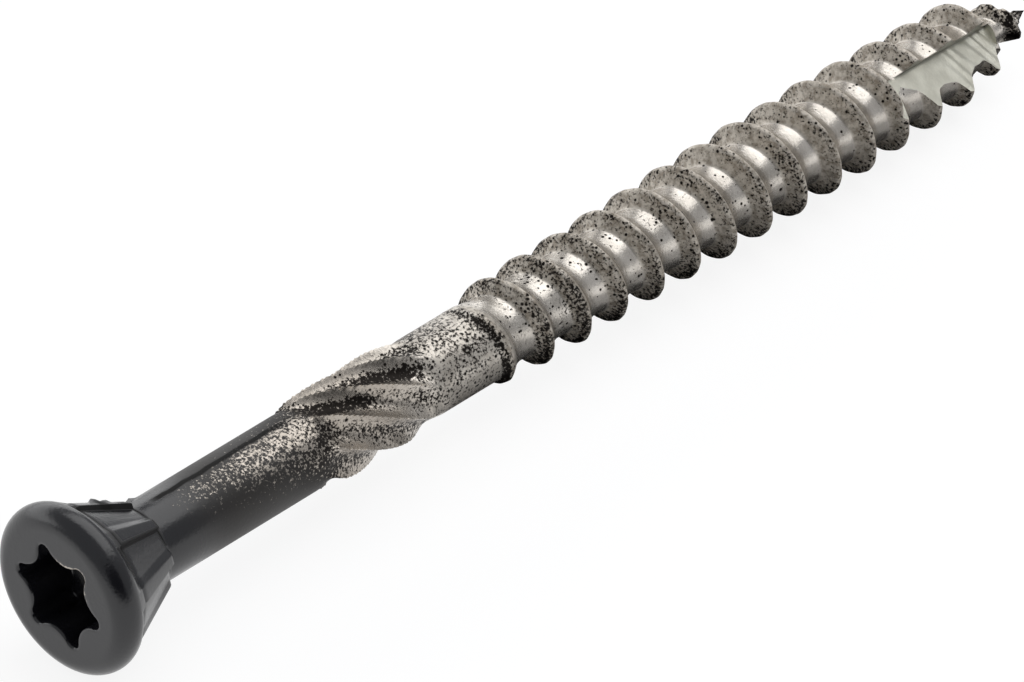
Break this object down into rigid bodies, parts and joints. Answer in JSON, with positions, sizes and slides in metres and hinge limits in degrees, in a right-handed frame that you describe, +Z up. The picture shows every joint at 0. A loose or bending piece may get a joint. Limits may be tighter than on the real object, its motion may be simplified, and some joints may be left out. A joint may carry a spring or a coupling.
{
  "type": "star drive screw",
  "caption": "Countersunk deck screw with a six-lobed star recess, cutting teeth under the head, a plain shank, a fluted reamer, a coarse thread and a slotted point.",
  "frame": {"origin": "middle of the screw's length on the floor that it lies on, straight under its axis", "axes": "+X along the screw from its head to its point, +Z up, +Y across; the point is lower than the head, by a nose-down slope of 1.7 degrees"},
  "size_m": [0.0601, 0.0076, 0.0077],
  "materials": {
    "steel": "bare bright steel on the thread and point; the head and the first of the shank have satin charcoal paint that thins to black speckle towards the thread"
  },
  "bodies": {
    "root": {"screw": "steel"}
  },
  "joints": []
}
